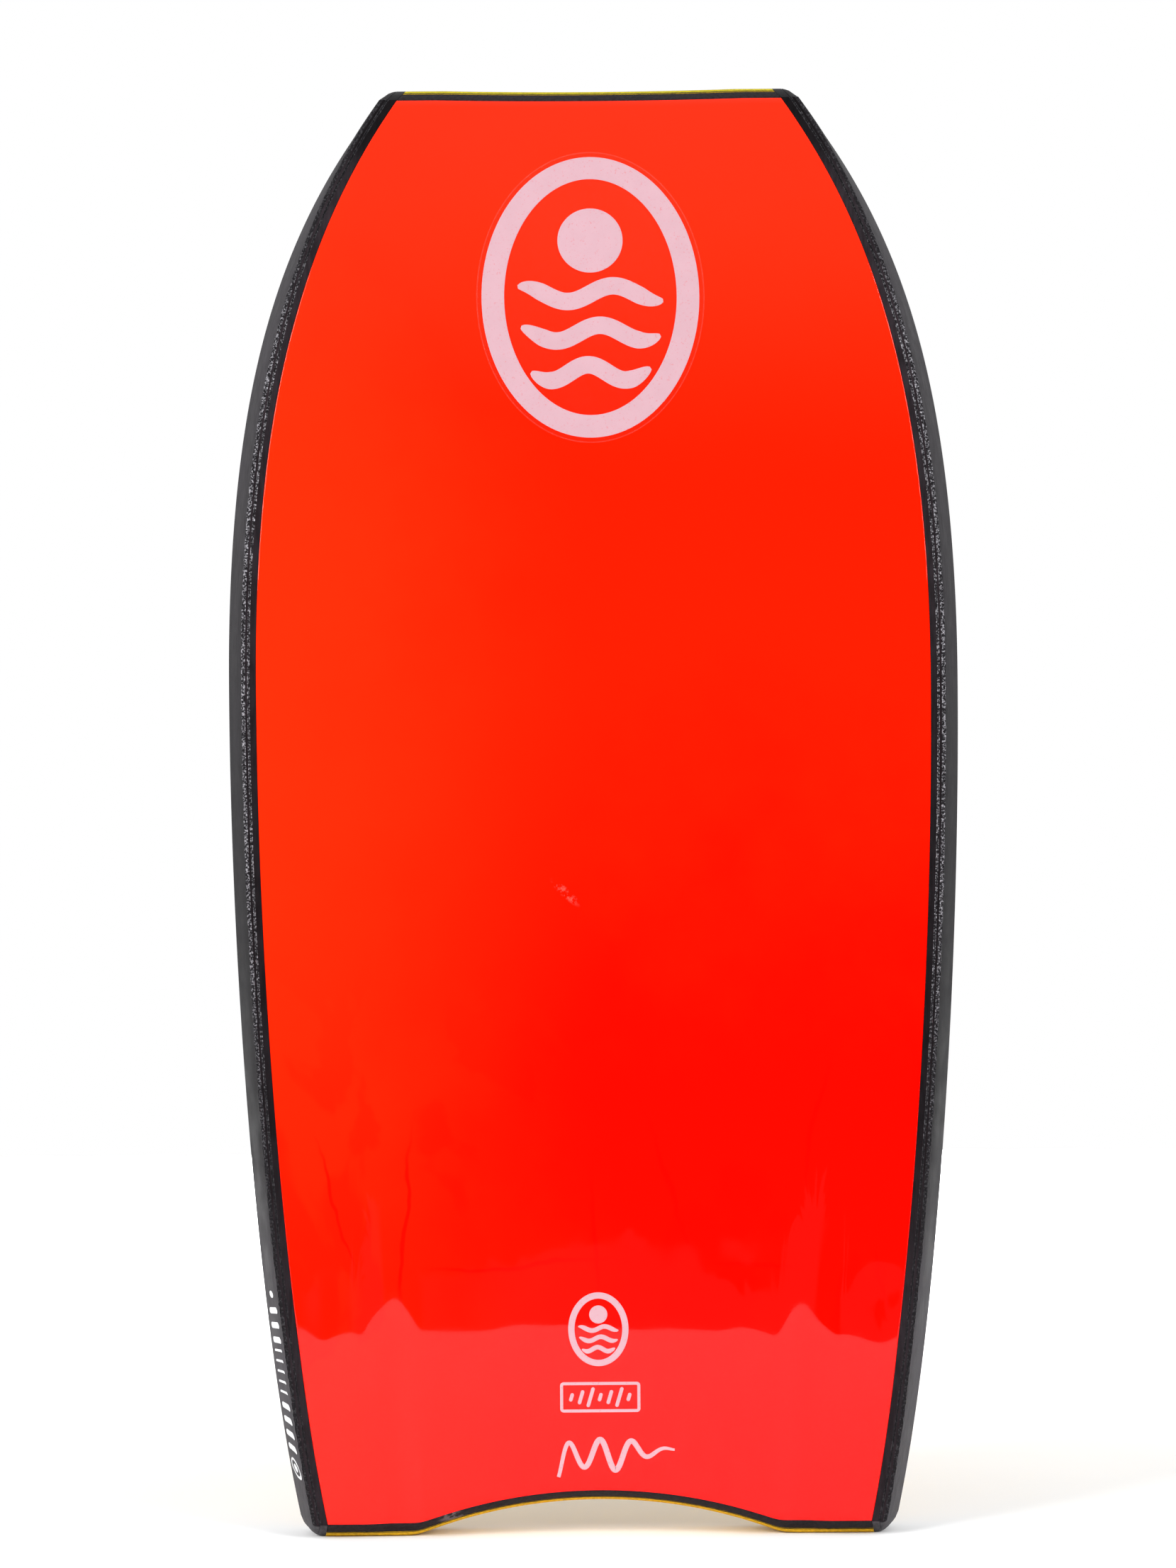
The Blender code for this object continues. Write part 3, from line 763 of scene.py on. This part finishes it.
def net_material():
    """Reinforcing net: threads of a square weave."""
    made, tree, shader, coords = begin("net_weave")
    threads = [add(tree, "TexWave", {"Vector": coords, "Scale": 60.0}, bands_direction=way).outputs["Fac"]
               for way in ("X", "Z")]
    thread = ramp(tree, maths(tree, "MAXIMUM", *threads), 0.7, 0.9)
    colour = mix(tree, thread, (0.45, 0.44, 0.42), (0.80, 0.79, 0.76))
    finish_with(tree, shader, colour, 0.7)
    bump(tree, shader, thread, 0.0003, 0.8)
    return made


def floor_material():
    """Nearly even white."""
    made, tree, shader, coords = begin("floor_white")
    clouds = noise(tree, coords, 3.0, 3.0)
    colour = mix(tree, ramp(tree, clouds, 0.3, 0.7), (0.90, 0.90, 0.90), (0.92, 0.92, 0.92))
    finish_with(tree, shader, colour, 0.7)
    return made


# ---------------------------------------------------------------- pieces

def mount(piece, replaced=()):
    """Ties a visible piece to the board, and hides the nodes it replaces."""
    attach(piece, "root")
    if replaced:
        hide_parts(*replaced)
    return piece


def curve_through(points, steps):
    """Smooth curve through a few (in from the end, depth) points."""
    points = np.asarray(points, float)
    padded = np.vstack([2 * points[0] - points[1], points, 2 * points[-1] - points[-2]])
    found = []
    for a, b, c, d in zip(padded, padded[1:], padded[2:], padded[3:]):
        for t in np.linspace(0, 1, steps, endpoint=False):
            found.append(0.5 * (2 * b + (c - a) * t + (2 * a - 5 * b + 4 * c - d) * t**2
                                + (3 * b - 3 * c + d - a) * t**3))
    found.append(points[-1])
    return np.array(found)


def moved_in(path, distance):
    """A path in (in from the end, depth), moved square to itself towards the core."""
    tangent = np.gradient(path, axis=0)
    tangent /= np.linalg.norm(tangent, axis=1, keepdims=True)
    return path + distance * np.stack([tangent[:, 1], -tangent[:, 0]], -1)


def end_points(points, at_nose):
    """Points of an end's profile, as (in from the end, depth). The nose's is a little shallower."""
    scale = NOSE_END if at_nose else 1.0
    return [(e * scale, d) for e, d in points]


def slant_end(at_nose, depth):
    """Where a sheet behind an end strip stops at a depth."""
    (top_e, _), (foot_e, foot_d) = end_points((SLANT_TOP, SLANT_FOOT), at_nose)
    return top_e + depth * foot_d / (top_e - foot_e) + 1.5 * GAP


def deck_corner(degrees):
    """Points round the deck's end, as (in from the end, depth below the deck)."""
    turns = np.radians(degrees)
    return np.stack([DECK_ROUND * (1 - np.cos(turns)), DECK_ROUND * (1 - np.sin(turns))], -1)


def slick_sheet(finish):
    """The slick, with a rolled edge. Its ends follow the slant behind the strips."""
    share = np.concatenate([[-1, -0.998], np.linspace(-0.985, 0.985, 129), [0.998, 1]])[None, :]
    layers = []
    for depth, edge in SLICK_ROLL:
        tail = slant_end(False, depth) + edge
        nose = LENGTH - slant_end(True, depth) - edge
        along = np.linspace(tail, nose, SLICK_ROWS)[:, None]
        layer = place(along, share, RAILS_WIDE + edge, depth)
        layer[..., 1] += swell(layer[..., 0], layer[..., 2])
        layers.append(layer)
    return mount(solid("slick_sheet", layers, [finish]), ["slick_skin"])


def deck_sheet(finish, edge, dark_band):
    """The deck skin, wrapped round both ends to the strips, with a dark band beside each strip and a trimmed
    edge whose darker yellows are painted shade.
    """
    share = np.linspace(-1, 1, 91)[None, :]
    deck_round = deck_corner(np.linspace(0, 90, 10))
    foot = np.subtract(SLANT_FOOT, SLANT_TOP)
    foot = SLANT_FOOT + foot / np.linalg.norm(foot) * 1.5 * GAP
    middle = np.linspace(DECK_FLAT_FROM, LENGTH - DECK_FLAT_FROM, 210)[:, None]
    layers = []
    for move in (0.0, DECK):
        ends = []
        for at_nose in (False, True):
            slick_side = curve_through(end_points((foot, ROUND_MID, ROUND_END), at_nose), 5)
            slick_side = moved_in(slick_side, move)
            deck_side = moved_in(deck_round * (1, -1), move) * (1, -1)
            rows = []
            for path, from_deck in ((slick_side, False), (deck_side, True)):
                e, d = path[:, :1], path[:, 1:]
                rows.append(place(LENGTH - e if at_nose else e, share, RAILS_WIDE, d, from_deck))
            ends.append(np.concatenate(rows))
        flat = place(middle, share, RAILS_WIDE, move, True)
        layers.append(np.concatenate([ends[0], flat, ends[1][::-1]]))
    rows = len(layers[0]) - 1
    from_tail = np.arange(rows)[:, None]
    from_nose = from_tail[::-1]
    # A dark band of rows right next to each strip, then the trimmed edge's rows in painted shade.
    in_dark_band = (from_tail < DARK_BAND_ROWS[0]) | (from_nose < DARK_BAND_ROWS[1])
    slots = np.where(in_dark_band, 2, np.where(np.minimum(from_tail, from_nose) < EDGE_ROWS, 1, 0))
    piece = solid("deck_sheet", layers, [finish, edge, dark_band], first_slots=slots)
    return mount(piece, ["deck_skin"])


def end_strip(name, node, at_nose, finish):
    """A strip glued to the slanted part of one end, with hand-cut edges."""
    share = np.linspace(-1, 1, 361)[None, :]
    top, foot = (np.array(point) for point in end_points((SLANT_TOP, SLANT_FOOT), at_nose))
    size = np.linalg.norm(foot - top)
    down = (foot - top) / size
    inward = np.array([down[1], -down[0]])
    layers = []
    for sunk, edge in STRIP_EDGES:
        reach = np.linspace(edge, size - edge, 9)[:, None]
        wobble = STRIP_WOBBLE[0] * grain(share * 70, reach / 0.004, 11 + at_nose)
        wobble = wobble + STRIP_WOBBLE[1] * grain(share * 260, reach / 0.001, 13 + at_nose)
        crown = STRIP_CROWN * (1 - (2 * reach / size - 1) ** 2) - wobble * (sunk == 0.0)
        at_edge = np.abs(reach - size / 2) > size / 2.2
        reach = reach + wobble * (sunk < STRIP) * np.where(at_edge, 1.0, 0.0)
        e = top[0] + down[0] * reach + inward[0] * (sunk - crown * (sunk < STRIP_ROUND))
        d = top[1] + down[1] * reach + inward[1] * (sunk - crown * (sunk < STRIP_ROUND))
        layers.append(place(LENGTH - e if at_nose else e, share, RAILS_WIDE, d))
    return mount(solid(name, layers, [finish]), [node])


def rail_rows(ends, count=RAIL_ROWS):
    """Distances along a rail, from an inset at the tail to one at the nose."""
    return np.linspace(ends[0], LENGTH - ends[1], count)[:, None]


def end_inset(depth):
    """Insets of both ends of a rail's layer at a depth below the slick."""
    points = curve_through((SLANT_TOP, SLANT_FOOT, ROUND_MID, ROUND_END), 8)
    e = np.interp(depth, points[:, 1], points[:, 0])
    return e, e * NOSE_END


def rail_rise(along, inset, seed):
    """Height of the rough bead along the joint between two rail layers."""
    near = np.clip(1 - np.abs(inset - JOINT) / BEAD_HALF, 0, 1)
    crumbs = 0.6 + 0.5 * grain(along / 0.0014, inset / 0.0009, seed)
    return BEAD_HEIGHT * smooth(near) * crumbs


def lower_rail(side, word, skin, cut, face):
    """Outer layer from the slick to the apex, with a trimmed rough corner on the slick side."""
    beside_joint = [RAIL_LAYER - step for step in BEAD_STEPS]
    insets = np.array([RAIL_LAYER, *beside_joint, 0.0040, RAIL_EDGE_ROUND])[None, :]
    along = rail_rows(end_inset(0.0))
    rise = rail_rise(along, insets, 21)
    layers = [place(along, side, insets, -rise, raised=False)]
    side_slots = []
    turns = np.radians(np.linspace(0, 90, 7))[1:]
    outer = [(RAIL_EDGE_REST + (RAIL_EDGE_ROUND - RAIL_EDGE_REST) * (1 - math.sin(turn)),
              RAIL_EDGE_DEEP * (1 - math.cos(turn)), LOWER_ROUGH, turn) for turn in turns]
    outer.append((0.00065, 0.0026, 0.00012, math.pi / 2))
    outer += [(inset, depth, 0.0, math.pi / 2) for inset, depth in SIDE_POINTS]
    for k, (inset, depth, rough, turn) in enumerate(outer):
        along = rail_rows(end_inset(depth))
        lump = rough * (grain(along / 0.0015, k * 0.8, 31) + 0.5 * grain(along / 0.0042, k * 0.4, 32))
        share = (insets - insets[0, -1]) / (insets[0, 0] - insets[0, -1])
        across = inset - lump * math.sin(turn) * (1 - share) + (RAIL_LAYER - inset) * share
        layers.append(place(along, side, across, depth - lump * math.cos(turn) * (1 - share), raised=False))
        side_slots.append(1 if rough == LOWER_ROUGH else 0)
    along = rail_rows((0.0, 0.0))
    across = RAIL_LAYER * np.linspace(1, 0, insets.shape[1])[None, :]
    full = thickness(along + end_shift(along, 1.0, across))
    layers.append(place(along, side, across, APEX * full - GAP / 2, raised=False))
    side_slots.append(0)
    piece = solid(f"rail_lower_{word}", layers, [skin, cut, face], first_slots=[1, 1, 2, 2, 2],
                  side_slots=side_slots, angle=60)
    return mount(piece, [f"lower_rail_{word}"])


def upper_rail(side, word, skin, cut):
    """Outer layer from the apex to the deck, with a trimmed rough corner on the deck side."""
    count = UPPER_RAIL_ROWS
    columns = np.linspace(1, 0, 6)[None, :]
    layers = []
    side_slots = []
    turns = np.radians(np.linspace(90, 0, 6))
    corner_points = [(DECK_EDGE_ROUND * (1 - math.sin(turn)) * 0.9, 0.0020 * (1 - math.cos(turn)), turn)
                     for turn in turns]
    deck_end = curve_through(deck_corner((0, 30, 60, 90)), 4)[::-1]
    along = rail_rows((0.0, 0.0), count)
    full = thickness(along + end_shift(along, 1.0, RAIL_LAYER * columns))
    layers.append(place(along, side, RAIL_LAYER * columns, APEX * full + GAP / 2, raised=False))
    for depth in (0.0100, 0.0050):
        layers.append(place(along, side, RAIL_LAYER * columns, depth, True, False))
        side_slots.append(0)
    for k, (inset, depth, turn) in enumerate(corner_points):
        e = float(np.interp(depth, deck_end[:, 1], deck_end[:, 0]))
        along = rail_rows((e, e), count)
        lump = UPPER_ROUGH * (grain(along / 0.0018, k * 0.8, 41) + 0.5 * grain(along / 0.005, k * 0.4, 42))
        across = inset - lump * math.sin(turn) * (1 - columns) + (RAIL_LAYER - inset) * columns
        layers.append(place(along, side, across, depth - lump * math.cos(turn) * (1 - columns), True, False))
        side_slots.append(1 if k else 0)
    piece = solid(f"rail_upper_{word}", layers, [skin, cut], side_slots=side_slots, angle=60)
    return mount(piece, [f"upper_rail_{word}"])


def inner_rail(side, word, skin, cut, face):
    """Inner layer, whole from the slick to the deck, with a rough edge at its joint with the outer one."""
    start = RAIL_LAYER + GAP
    stop = 2 * RAIL_LAYER + GAP
    beside_joint = [start + step for step in BEAD_STEPS]
    insets = np.array([start, *beside_joint, 0.0080, 0.0100, stop - 0.0003, stop])[None, :]
    along = rail_rows(end_inset(0.0))
    rise = rail_rise(along, insets, 22) - 0.00015 * (insets >= stop)
    layers = [place(along, side, insets, -rise, raised=False)]
    for _, depth in SIDE_POINTS[1:]:
        layers.append(place(rail_rows(end_inset(depth)), side, insets, depth, raised=False))
    along = rail_rows((0.0, 0.0))
    full = thickness(along + end_shift(along, 1.0, insets))
    layers.append(place(along, side, insets, APEX * full, raised=False))
    for e, depth in deck_corner((0, 20, 45, 70, 90)):
        layers.append(place(rail_rows((e, e)), side, insets, depth, True, False))
    piece = solid(f"rail_inner_{word}", layers, [skin, cut, face], first_slots=[1, 1, 1, 2, 2, 2, 2],
                  angle=60)
    return mount(piece, [f"inner_rail_{word}"])


def on_slick(x, z, above):
    """Points over the slick."""
    return np.stack([x, slick_line(z) + channel(x, z, 0.0) + swell(x, z) - above, z], -1)


def on_left_rail(z, depth, above):
    """Points over the left rail's side, between the slick and the apex."""
    inset = np.interp(depth, (0.0014, 0.0026, 0.0050, 0.0093), (0.0008, 0.00065, 0.0004, 0.0))
    return place(z, -1.0, inset - above, depth, raised=False)


def wave(centre, span, height, half, phase, steps=60):
    """A band that rises and falls across, thinner at its ends."""
    x = np.linspace(-span, span, steps)
    z = centre[1] + height * np.sin(2 * math.pi * x / (span * 1.25) + phase)
    width = half * np.clip(1.35 * np.sqrt(np.clip(1.02 - (x / span) ** 2, 0, 1)), 0.05, 1)
    return ribbon(np.stack([centre[0] + x, z], -1), width)


def badge(centre, size):
    """An oval ring with a sun over three waves."""
    x, z = centre
    a, b = size[0] / 2, size[1] / 2
    line = 0.052 * size[0]
    sheets = [oval(centre, (a - line, b - line), line, 140)]
    sheets.append(disc((x, z + 0.40 * b), (0.30 * a, 0.30 * a)))
    for k in range(3):
        level = 0.02 - 0.28 * k
        span = (a - 3.2 * line) * math.sqrt(1 - (level - 0.03) ** 2)
        sheets.append(wave((x, z + level * b), span, 0.055 * b, 0.062 * b, 0.9 * k))
    return sheets


def nose_decal(ink, film, rim):
    """The large badge on its clear film."""
    centre, size = NOSE_BADGE
    outer = [side / 2 + FILM_MARGIN for side in size]
    sheet = decal("emblem_film", [disc(centre, outer, 61)], on_slick, film, FILM_LIFT, FILM_THICK)
    mount(sheet, ["nose_emblem_film"])
    line = oval(centre, [half + FILM_RIM for half in outer], FILM_RIM, 200)
    mount(decal("emblem_film_edge", [line], on_slick, rim, FILM_LIFT, FILM_THICK))
    above_film = FILM_LIFT + FILM_THICK + NOSE_INK
    mount(decal("print_nose", badge(centre, size), on_slick, ink, above_film, NOSE_INK))


def tail_prints(ink):
    """Small badge, boxed bars and a flourish, one above the other."""
    mount(decal("print_tail_badge", badge(*TAIL_BADGE), on_slick, ink, TAIL_INK, TAIL_INK))
    (x, z), size = TAIL_LABEL
    boxed = [frame_line((x, z), size, LABEL_ROUND, LABEL_LINE)]
    for k in range(LABEL_BARS):
        reach = 0.0030 + 0.0021 * (k % 3)
        at = x + LABEL_PITCH * (k - (LABEL_BARS - 1) / 2)
        boxed.append(bar((at - 0.3 * reach, z - reach), (at + 0.3 * reach, z + reach), LABEL_BAR_HALF))
    mount(decal("print_tail_label", boxed, on_slick, ink, TAIL_INK, TAIL_INK))
    t = np.linspace(0, 1, 160)
    x, z = FLOURISH_AT
    path = np.stack([x + FLOURISH_SPAN * (t - 0.5),
                     z - 0.003 + 0.0150 * np.sin(2 * math.pi * 3.7 * t**0.9 - 1.3) * (1 - t) ** 0.75
                     * (1 - 0.35 * np.sin(9 * t)) + 0.005 * t], -1)
    half = 0.0018 * (0.30 + 0.85 * np.sin(math.pi * np.clip(0.12 + 0.85 * t, 0, 1)) ** 0.7)
    mount(decal("print_tail_flourish", [ribbon(path, half)], on_slick, ink, TAIL_INK, TAIL_INK))


def rail_print(ink):
    """A ringed dot and a row of slanted bars, bold, thin and bold, along the left rail near the tail."""
    middle = RAIL_PRINT_DEPTH
    dot = (0.0026, 0.0042)
    sheets = [oval((RING_AT, middle), (0.0058, 0.0092), 0.0009, 60), disc((RING_AT, middle), dot)]
    at = BARS_FROM
    for count, half, reach, pitch in RAIL_BARS:
        for _ in range(count):
            sheets.append(bar((at - BAR_SLANT, middle + reach), (at + BAR_SLANT, middle - reach), half))
            at += pitch
    sheets.append(disc((at + 0.0010, middle), dot))
    mount(decal("print_rail", sheets, on_left_rail, ink, RAIL_PRINT_LIFT, RAIL_INK))


def build_pieces():
    """Every visible piece with its finish."""
    skin = rail_material("rail_skin", (0.0066, 0.0060, 0.0068), (0.0126, 0.0116, 0.0130), 0.19, 4.2, 3.3)
    face = rail_material("rail_face", (0.0046, 0.0033, 0.0040), (0.0085, 0.0064, 0.0077), 0.08, 2.0, 2.4)
    cut = cut_material()
    strip = strip_material()
    pink = print_material("ink_pale_pink", (0.535, 0.330, 0.375), (0.55, 0.22, 0.24))
    white = print_material("ink_white", (0.72, 0.73, 0.75), (0.35, 0.35, 0.36))
    slick_sheet(slick_material())
    # Painted shade: the trimmed edge is a darker, more orange yellow than the deck, and olive at the nose.
    edge = edge_material("deck_edge_painted_shade", (0.66, 0.37, 0.012), (0.45, 0.37, 0.012))
    deck_sheet(deck_material(), edge, edge_material("deck_dark_band", (0.09, 0.07, 0.006), (0.06, 0.06, 0.006)))
    end_strip("strip_nose", "nose_strip", True, strip)
    end_strip("strip_tail", "tail_strip", False, strip)
    for side, word in ((-1.0, "left"), (1.0, "right")):
        lower_rail(side, word, skin, cut, face)
        upper_rail(side, word, skin, cut)
        inner_rail(side, word, skin, cut, face)
    nose_decal(pink, film_material("film_clear", 0.004), film_material("film_edge", 0.035))
    tail_prints(pink)
    rail_print(white)


def finish_kept_nodes():
    """The CAD nodes that stay: the core and what lies in it."""
    kept = {"foam_core": core_material(), "stringer_tube": weave_material(), "slick_mesh": net_material()}
    plug = plug_material()
    kept.update({"stringer_nose_plug": plug, "stringer_tail_plug": plug})
    kept.update({"nose_bulb_left": kept["foam_core"], "nose_bulb_right": kept["foam_core"]})
    for name, finish in kept.items():
        for slot in frame["nodes"][name].material_slots:
            slot.material = finish


# ---------------------------------------------------------------- stage

def floor(finish):
    """One plain sheet that ends in front of the board."""
    corners = [(x, y, 0.0) for y in (FLOOR_FRONT, FLOOR_BACK) for x in (-FLOOR_HALF, FLOOR_HALF)]
    faces = grid_faces(np.arange(len(corners)).reshape(2, -1))
    to_object("floor", np.array(corners), faces, [finish], np.zeros(len(faces)))


def area_light(name, place_at, power, size, aim=(0.0, 0.0, 0.60), spread=180.0):
    """A square soft light that faces a point."""
    data = bpy.data.lights.new(name, "AREA")
    data.energy = power
    data.size = size
    data.spread = math.radians(spread)
    made = bpy.data.objects.new(name, data)
    made.location = place_at
    away = made.location - Vector(aim)
    made.rotation_euler = away.to_track_quat("Z", "Y").to_euler()
    bpy.context.scene.collection.objects.link(made)


def world():
    """White to the camera. To everything else: dark in front near the horizon, bright above and behind.

    Past the end of the floor in front, a faint grey reaches up to an uneven edge below the horizon.
    """
    made = bpy.data.worlds.new("studio")
    bpy.context.scene.world = made
    made.use_nodes = True
    tree = made.node_tree
    tree.nodes.clear()
    direction = add(tree, "TexCoord").outputs["Generated"]
    way = add(tree, "SeparateXYZ", {0: direction}).outputs
    low = ramp(tree, way["Z"], 0.20, 0.62, 0.0, 0.50)
    high = ramp(tree, way["Z"], 0.55, 0.95, 0.0, 0.55)
    front = maths(tree, "ADD", low, high)
    behind = ramp(tree, way["Y"], -0.20, 0.45)
    above = ramp(tree, way["Z"], -0.05, 0.0)
    wander = noise(tree, stretched(tree, direction, (1.0, 1.0, 0.3)), 26.0, 3.0, 0.6)
    edge = maths(tree, "ADD", way["Z"], maths(tree, "MULTIPLY", maths(tree, "SUBTRACT", wander, 0.5), 0.09))
    faint = ramp(tree, edge, -0.1255, -0.1245, 0.15, 0.0)
    faint = maths(tree, "MULTIPLY", faint, ramp(tree, way["X"], -0.08, 0.0))
    level = maths(tree, "ADD", maths(tree, "MULTIPLY", front, maths(tree, "SUBTRACT", 1.0, behind)),
                  maths(tree, "MULTIPLY", behind, 0.72))
    level = maths(tree, "ADD", maths(tree, "MULTIPLY", level, above), faint)
    soft = add(tree, "Background", {"Color": (1, 1, 1, 1), "Strength": level}).outputs[0]
    seen = add(tree, "Background", {"Color": (1, 1, 1, 1), "Strength": 1.0}).outputs[0]
    camera = add(tree, "LightPath").outputs["Is Camera Ray"]
    both = add(tree, "MixShader", {0: camera, 1: soft, 2: seen}).outputs[0]
    add(tree, "OutputWorld", {"Surface": both})


def camera():
    """Square on to the slick, at the middle of its height."""
    data = bpy.data.cameras.new("camera")
    data.sensor_width = SENSOR
    data.lens = LENS
    made = bpy.data.objects.new("camera", data)
    turn = Matrix.Rotation(math.radians(CAMERA_ROLL), 4, "Y") @ Matrix.Rotation(math.radians(90), 4, "X")
    made.matrix_world = Matrix.Translation(CAMERA_AT) @ turn
    bpy.context.scene.collection.objects.link(made)
    bpy.context.scene.camera = made


def main():
    """The whole scene."""
    scene = bpy.context.scene
    scene.view_settings.view_transform = "Standard"
    camera()
    world()
    floor(floor_material())
    area_light("key_left", (-2.5, -2.2, 1.9), power=135.0, size=1.5)
    area_light("fill_right", (2.5, -2.2, 1.9), power=110.0, size=1.5)
    area_light("far_floor", (0.0, 2.9, 2.6), power=160.0, size=2.4, aim=(0.0, 2.9, 0.0), spread=68.0)
    build_pieces()
    finish_kept_nodes()


main()
bpy.context.view_layer.update()
